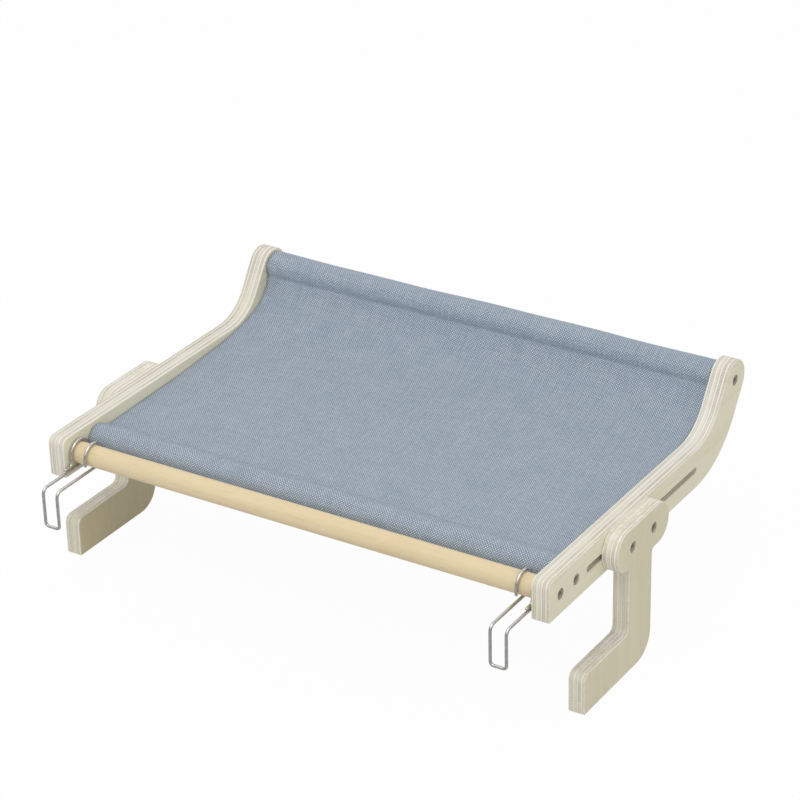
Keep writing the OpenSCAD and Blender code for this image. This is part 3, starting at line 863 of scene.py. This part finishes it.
def plywood(name, wood, x_in, thick, turn, outer, inner, core):
    """Birch plywood: face veneers with soft grain, and its veneers in turn across the thickness.

    outer, inner and core are the light and dark tones of the two face veneers and of the edge. On the legs,
    inner is painted shade (a darker, warmer inner face for the shade under the bed) and core is painted light
    (lighter edges).
    """
    (light, dark), (core_light, core_dark) = outer, core
    tree, surface = shader(name)
    place = tree.add("ShaderNodeTexCoord")["Object"]
    grain = tree.use("Wood grain", Vector=tree.mapped(place, Rotation=turn), Pores=0.35)
    x = tree.calc("ABSOLUTE", tree.split(place)[0])
    depth = tree.times(tree.minus(x, x_in), wood.plies / thick)
    ply = tree.use("Ply layers", Depth=depth, Vector=place)
    to_face = tree.calc("MINIMUM", depth, tree.minus(float(wood.plies), depth))
    inside = tree.ranged(to_face, 0.12, 0.2)
    face = tree.mixed(grain["Streaks"], light, dark)
    # Painted shade: on the legs the inner half of the plate takes the darker, warmer inner tones, which stand
    # in for the shade under the bed.
    if inner is not outer:
        back = tree.mixed(grain["Streaks"], *inner)
        face = tree.mixed(tree.calc("LESS_THAN", depth, wood.plies / 2), face, back)
    face = tree.tinted(face, grain["Clouds"], 0.22, wood.warm_patch)
    end_grain = tree.noise(place, (500, 900, 900), 2.0)
    cross = tree.mixed(tree.ranged(end_grain, 0.35, 0.7), core_dark, core_light)
    cross = tree.mixed(0.5, cross, core_dark)
    edge = tree.mixed(ply["Cross"], tree.mixed(grain["Streaks"], core_light, light), cross)
    edge = tree.tinted(edge, ply["Glue"], 0.7, core_dark, "MULTIPLY")
    paint = tree.mixed(inside, face, edge)
    mask = tree.add("ShaderNodeAttribute", attribute_name="edge")["Fac"]
    wear = tree.use("Wear", Vector=place, Edge=mask, Amount=0.5)
    paint = tree.mixed(wear["Edge"], paint, core_light)
    paint = tree.tinted(paint, wear["Smudge"], 0.14, wood.warm_patch, "MULTIPLY")
    paint = tree.tinted(paint, grain["Pores"], 0.3, dark, "MULTIPLY")
    rough = tree.ranged(grain["Height"], 0.3, 0.7, 0.68, 0.56)
    sunk_glue = tree.times(tree.times(ply["Glue"], inside), 0.6)
    tree.coat(surface, paint, rough, tree.minus(grain["Height"], sunk_glue), depth=0.00012)


def beech(wood):
    """Turned beech: straight fine grain along X with the small dark flecks of that wood."""
    tree, surface = shader("beech_rod")
    place = tree.add("ShaderNodeTexCoord")["Object"]
    grain = tree.use("Wood grain", Vector=tree.mapped(place, Rotation=ALONG_X), Pores=0.8)
    wear = tree.use("Wear", Vector=place, Edge=0.0, Amount=0.4)
    paint = tree.tinted(wood.beech_light, grain["Streaks"], 0.4, wood.beech_dark)
    paint = tree.tinted(paint, grain["Clouds"], 0.25, wood.warm_patch)
    paint = tree.tinted(paint, grain["Pores"], 0.3, wood.beech_dark, "MULTIPLY")
    paint = tree.tinted(paint, wear["Smudge"], 0.12, wood.beech_dark, "MULTIPLY")
    rough = tree.ranged(grain["Height"], 0.3, 0.7, 0.6, 0.48)
    tree.coat(surface, paint, rough, grain["Height"], depth=0.00008)


def woven(cloth):
    """The bed's plain weave, drawn on the cloth's own flat map in metres, with painted shade in the gaps
    between threads.
    """
    tree, surface = shader("bed_weave", Sheen_Weight=0.12, Sheen_Roughness=0.5, Specular_IOR_Level=0.2)
    flat = tree.add("ShaderNodeUVMap", uv_map="flat")[0]
    per_metre = 1 / cloth.thread_pitch
    weave = tree.use("Plain weave", Threads=tree.mapped(flat, Scale=(per_metre, per_metre, 1)))
    paint = tree.mixed(weave["Weft on top"], cloth.warp, cloth.weft)
    shade = tree.ranged(weave["Shade"], 0.25, 0.75)
    paint = tree.mixed(shade, *[tree.mixed(0.22, paint, end) for end in (BLACK, WHITE)])
    cloud = tree.ranged(tree.noise(flat, 26.0, 3.0), 0.35, 0.7, 0.0, 0.10)
    paint = tree.mixed(cloud, paint, cloth.weft)
    # Painted shade: where the threads dip at the edges of their cells, the colour is darkened towards a dim
    # weft, as the shade between threads.
    painted_gap_shade = tree.ranged(weave["Height"], 0.2, 0.67, 0.94, 0.0)
    paint = tree.mixed(painted_gap_shade, paint, dimmed(cloth.weft, 0.35))
    rough = tree.ranged(weave["Shade"], 0.3, 0.7, 0.9, 0.8)
    tree.coat(surface, paint, rough, weave["Height"], depth=0.00035)


def sewing(cloth):
    """Twisted sewing thread, with a slanted ply along X."""
    tree, surface = shader("sewing_thread", Specular_IOR_Level=0.3)
    twist = tree.noise(tree.add("ShaderNodeTexCoord")["Object"], (2400, 900, 900), 1.0)
    paint = tree.mixed(tree.ranged(twist, 0.4, 0.6), cloth.thread, dimmed(cloth.thread, 0.6))
    tree.coat(surface, paint, tree.ranged(twist, 0.4, 0.6, 0.75, 0.6), twist, depth=0.0001)


def metal(name, base, rough):
    """Plated or plain metal with faint drawn lines along X and a slight tarnish."""
    tree, surface = shader(name, Metallic=1.0)
    place = tree.add("ShaderNodeTexCoord")["Object"]
    finish = tree.use("Metal finish", Vector=tree.mapped(place, Rotation=ALONG_X))
    paint = tree.tinted(base, finish["Tarnish"], 0.6, dimmed(base, 0.62))
    rough = tree.ranged(finish["Lines"], 0.3, 0.7, rough - 0.08, rough + 0.1)
    tree.coat(surface, paint, rough, finish["Lines"], depth=0.00002)


class HAMMOCK_OT_finishes(bpy.types.Operator):
    """Makes the shared shader groups and every material"""

    bl_idname = "hammock.finishes"
    bl_label = "Materials"

    def execute(self, context):
        scene = context.scene
        wood, cloth, metals = scene.hammock_wood, scene.hammock_cloth, scene.hammock_metal
        for build in (grain_group, ply_group, wear_group, weave_group, metal_group):
            build()
        face, core, leg, leg_back_shaded, leg_core_brightened = (
            (getattr(wood, f"{part}_light"), getattr(wood, f"{part}_dark"))
            for part in ("face", "core", "leg", "leg_back_shaded", "leg_core_brightened"))
        plywood("rail_birch_ply", wood, RAIL_IN, RAIL_OUT - RAIL_IN, (math.pi / 2, 0, 0), face, face, core)
        # The legs' inner tones paint the shade under the bed, and their edge tones paint extra light.
        plywood("leg_birch_ply", wood, RAIL_OUT, LEG_OUT - RAIL_OUT, (0, 0, 0), leg, leg_back_shaded, leg_core_brightened)
        beech(wood)
        woven(cloth)
        sewing(cloth)
        metal("bolt_metal", metals.steel, rough=0.48)
        metal("hook_metal", metals.wire, rough=0.22)
        metal("insert_metal", metals.brass, rough=0.3)
        return {"FINISHED"}


class HAMMOCK_OT_rails(bpy.types.Operator):
    """Builds the two bent side rails with their slots and sunk bolt holes"""

    bl_idname = "hammock.rails"
    bl_label = "Side rails"

    def execute(self, context):
        wood = context.scene.hammock_wood
        rim = (outline(rail_turns(wood), 5), rim_profile(RAIL_IN, RAIL_OUT, wood.edge_round))
        r = wood.slot_width / 2
        slot = outline([(wood.slot_front + r, 0, r, 90, 270), (wood.slot_back - r, 0, r, -90, 90)], 10)
        holes = bolt_holes(RODS.values(), RAIL_IN, RAIL_OUT, wood)
        holes.append((slot, rim_profile(RAIL_IN, RAIL_OUT, -wood.hole_round)))
        for side, sign in SIDES.items():
            mesh = plate(f"side_rail_{side}_ply", rim, holes, sign)
            piece(mesh, f"side_rail_{side}", "rail_birch_ply")
        return {"FINISHED"}


class HAMMOCK_OT_legs(bpy.types.Operator):
    """Builds the two sliding legs with their sunk bolt holes"""

    bl_idname = "hammock.legs"
    bl_label = "Legs"

    def execute(self, context):
        wood = context.scene.hammock_wood
        rim = (outline(leg_turns(wood), 5), rim_profile(RAIL_OUT, LEG_OUT, wood.edge_round))
        holes = bolt_holes(LEG_BOLTS, RAIL_OUT, LEG_OUT, wood)
        for side, sign in SIDES.items():
            piece(plate(f"leg_{side}_ply", rim, holes, sign), f"leg_{side}", "leg_birch_ply")
        return {"FINISHED"}


class HAMMOCK_OT_rods(bpy.types.Operator):
    """Turns the three beech rods and finishes the brass inserts in their ends"""

    bl_idname = "hammock.rods"
    bl_label = "Rods and inserts"

    def execute(self, context):
        rings = revolve(rod_profile(context.scene.hammock_wood), around=64)
        for node, at in RODS.items():
            piece(merged(f"{node}_beech", *join([placed(rings, 0, at, 1)])), node, "beech_rod")
            inserts = frame["nodes"][f"{node}_inserts"]
            inserts.data.materials.clear()
            inserts.data.materials.append(bpy.data.materials["insert_metal"])
        return {"FINISHED"}


class HAMMOCK_OT_bolts(bpy.types.Operator):
    """Builds the rail screws, leg bolts, washers and nuts"""

    bl_idname = "hammock.bolts"
    bl_label = "Screws, bolts, washers and nuts"

    def execute(self, context):
        metals = context.scene.hammock_metal
        thread_r, head = metals.bolt_radius, metals.head_height
        screw = bolt_rings(metals, metals.screw_length)
        for node, at in RODS.items():
            parts = [placed(screw, SCREW_TOP - head, at, sign) for sign in SIDES.values()]
            mesh = merged(f"{node}_screws_steel", *join(parts))
            piece(mesh, f"{node}_screws", "bolt_metal")
        seat = BOLT_HIGH[0] - head
        bolt = bolt_rings(metals, seat - BOLT_LOW[0])
        washer = washer_rings(metals, WASHER_HIGH[0] - WASHER_LOW[0], WASHER_HIGH[2],
                              thread_r + metals.washer_room)
        nut = nut_rings(metals, NUT_HIGH[0] - NUT_LOW[0], thread_r + metals.nut_room)
        kinds = (("leg_bolts", bolt, seat, False), ("leg_washers", washer, WASHER_LOW[0], True),
                 ("leg_nuts", nut, NUT_LOW[0], True))
        for side, sign in SIDES.items():
            for kind, rings, x, closed in kinds:
                parts = [placed(rings, x, at, sign) for at in LEG_BOLTS]
                mesh = merged(f"{kind}_{side}_steel", *join(parts, wrap_rows=closed))
                piece(mesh, f"{kind}_{side}", "bolt_metal")
        return {"FINISHED"}


class HAMMOCK_OT_hooks(bpy.types.Operator):
    """Bends the two wire hooks"""

    bl_idname = "hammock.hooks"
    bl_label = "Wire hooks"

    def execute(self, context):
        for side, sign in SIDES.items():
            mesh = merged(f"hook_{side}_wire", *join([hook_rings(context.scene.hammock_metal, sign)]))
            piece(mesh, f"hook_{side}", "hook_metal", even_faces=False)
        return {"FINISHED"}


class HAMMOCK_OT_bed(bpy.types.Operator):
    """Sews the fabric bed round its two rods"""

    bl_idname = "hammock.bed"
    bl_label = "Fabric bed"

    def execute(self, context):
        cloth = context.scene.hammock_cloth
        bed = Bed(cloth)
        s, x = np.meshgrid(bed.rows(), np.linspace(BED_LOW[0], BED_HIGH[0], 151), indexing="ij")
        mesh = mesh_of("sling_cloth", bed.point(s, x), quads(*s.shape, wrap_columns=False)[:, ::-1])
        flat_map = mesh.uv_layers.new(name="flat")
        corner = np.zeros(len(mesh.loops), np.int32)
        mesh.loops.foreach_get("vertex_index", corner)
        flat_map.data.foreach_set("uv", np.stack([x.ravel(), s.ravel()], -1)[corner].ravel())
        made = piece(mesh, "sling", "bed_weave", even_faces=False)
        wall = made.modifiers.new("Cloth wall", "SOLIDIFY")
        wall.thickness = cloth.thickness
        wall.offset = 0
        wall.use_even_offset = True
        height = cloth.thickness / 2 + cloth.stitch_radius * 0.5
        for name, row in (("front", bed.seam), ("back", bed.end["curve"])):
            thread = merged(f"sling_{name}_stitches", *stitches(bed, row, height))
            piece(thread, "sling", "sewing_thread", False, stands_in=False)
        return {"FINISHED"}


class HAMMOCK_OT_stage(bpy.types.Operator):
    """Sets the camera, the lamp, the white surroundings and the floor"""

    bl_idname = "hammock.stage"
    bl_label = "Camera, lamp and floor"

    def execute(self, context):
        stage = context.scene.hammock_stage
        a, e, r = stage.azimuth, stage.elevation, stage.roll
        back = Vector((math.sin(a) * math.cos(e), -math.cos(a) * math.cos(e), math.sin(e)))
        right = Vector((math.cos(a), math.sin(a), 0))
        up = back.cross(right)
        right, up = right * math.cos(r) + up * math.sin(r), up * math.cos(r) - right * math.sin(r)
        eye = show("camera", bpy.data.cameras.new("camera"))
        eye.data.lens = stage.lens
        place = Vector((0, stage.target_y, stage.target_z)) + back * stage.distance
        eye.matrix_world = Matrix.Translation(place) @ Matrix((right, up, back)).transposed().to_4x4()
        context.scene.camera = eye
        lamp = show("key_lamp", bpy.data.lights.new("key_lamp", "AREA"))
        lamp.data.energy, lamp.data.size = stage.key_power, KEY_SIZE
        lamp.location = KEY_PLACE
        lamp.rotation_euler = (lamp.location - Vector(KEY_AIM)).to_track_quat("Z", "Y").to_euler()
        self.surroundings(context, stage)
        self.floor(stage)
        context.scene.view_settings.view_transform = "Standard"
        return {"FINISHED"}

    def surroundings(self, context, stage):
        """White to the camera, a soft light that is strongest from the sides, and for mirrors white above
        that darkens to the horizon."""
        world = bpy.data.worlds.new("surroundings")
        context.scene.world = world
        world.use_nodes = True
        tree = Tree(world.node_tree)
        ray = tree.add("ShaderNodeLightPath")
        height = tree.split(tree.add("ShaderNodeTexCoord")["Generated"])[2]
        mirrored = tree.ranged(height, 0.0, 0.6, stage.mirror_low, 1.0)
        soft = tree.add("ShaderNodeMapRange", {0: height, 3: stage.sky_low, 4: stage.sky_high})[0]
        strength = tree.blended(ray["Is Glossy Ray"], soft, mirrored)
        strength = tree.blended(ray["Is Camera Ray"], strength, 1.0)
        tree.fill(tree.nodes["Background"], {"Color": WHITE, "Strength": strength})

    def floor(self, stage):
        """A pale floor: mostly plain white to the camera, with enough real surface to keep a soft shadow."""
        reach, z = FLOOR_REACH, LEG_LOW[2] - stage.floor_drop
        corners = [[x, y, z] for y in (-reach, reach) for x in (-reach, reach)]
        mesh = mesh_of("floor", corners, [[0, 1, 3, 2]])
        tree, surface = shader("floor_white", Base_Color=(*[stage.floor_tone] * 3, 1), Roughness=0.9)
        ray = tree.add("ShaderNodeLightPath")
        white = tree.add("ShaderNodeEmission")[0]
        grey = tree.add("ShaderNodeEmission", {"Strength": stage.mirror_floor})[0]
        real = tree.add("ShaderNodeMixShader", {0: ray["Is Glossy Ray"], 1: surface.outputs[0], 2: grey})[0]
        seen = tree.times(ray["Is Camera Ray"], stage.floor_white)
        mix = tree.add("ShaderNodeMixShader", {0: seen, 1: real, 2: white})[0]
        tree.fill(tree.nodes["Material Output"], {"Surface": mix})
        mesh.materials.append(bpy.data.materials["floor_white"])
        show("floor", mesh)


SETTINGS = {"hammock_wood": WoodSizes, "hammock_cloth": ClothSizes, "hammock_metal": MetalSizes,
            "hammock_stage": StageSizes}
OPERATORS = (HAMMOCK_OT_finishes, HAMMOCK_OT_stage, HAMMOCK_OT_bed, HAMMOCK_OT_rails, HAMMOCK_OT_legs,
             HAMMOCK_OT_rods, HAMMOCK_OT_bolts, HAMMOCK_OT_hooks)


class HAMMOCK_PT_build(bpy.types.Panel):
    """Lists the hammock's sizes and the steps that build it"""

    bl_idname = "HAMMOCK_PT_build"
    bl_label = "Cat hammock"
    bl_space_type = "VIEW_3D"
    bl_region_type = "UI"
    bl_category = "Hammock"

    def draw(self, context):
        for step in OPERATORS:
            self.layout.operator(step.bl_idname)
        for name in SETTINGS:
            settings = getattr(context.scene, name)
            box = self.layout.box()
            for label in settings.bl_rna.properties.keys():
                if label not in ("rna_type", "name"):
                    box.prop(settings, label)


def register():
    for kind in (*SETTINGS.values(), *OPERATORS, HAMMOCK_PT_build):
        bpy.utils.register_class(kind)
    for name, kind in SETTINGS.items():
        setattr(bpy.types.Scene, name, PointerProperty(type=kind))


def unregister():
    for name in SETTINGS:
        delattr(bpy.types.Scene, name)
    for kind in (HAMMOCK_PT_build, *reversed(OPERATORS), *reversed(SETTINGS.values())):
        bpy.utils.unregister_class(kind)


def main():
    register()
    bpy.ops.hammock.finishes()
    bpy.ops.hammock.stage()
    bpy.ops.hammock.bed()
    bpy.ops.hammock.rails()
    bpy.ops.hammock.legs()
    bpy.ops.hammock.rods()
    bpy.ops.hammock.bolts()
    bpy.ops.hammock.hooks()


if __name__ == "__main__":
    main()
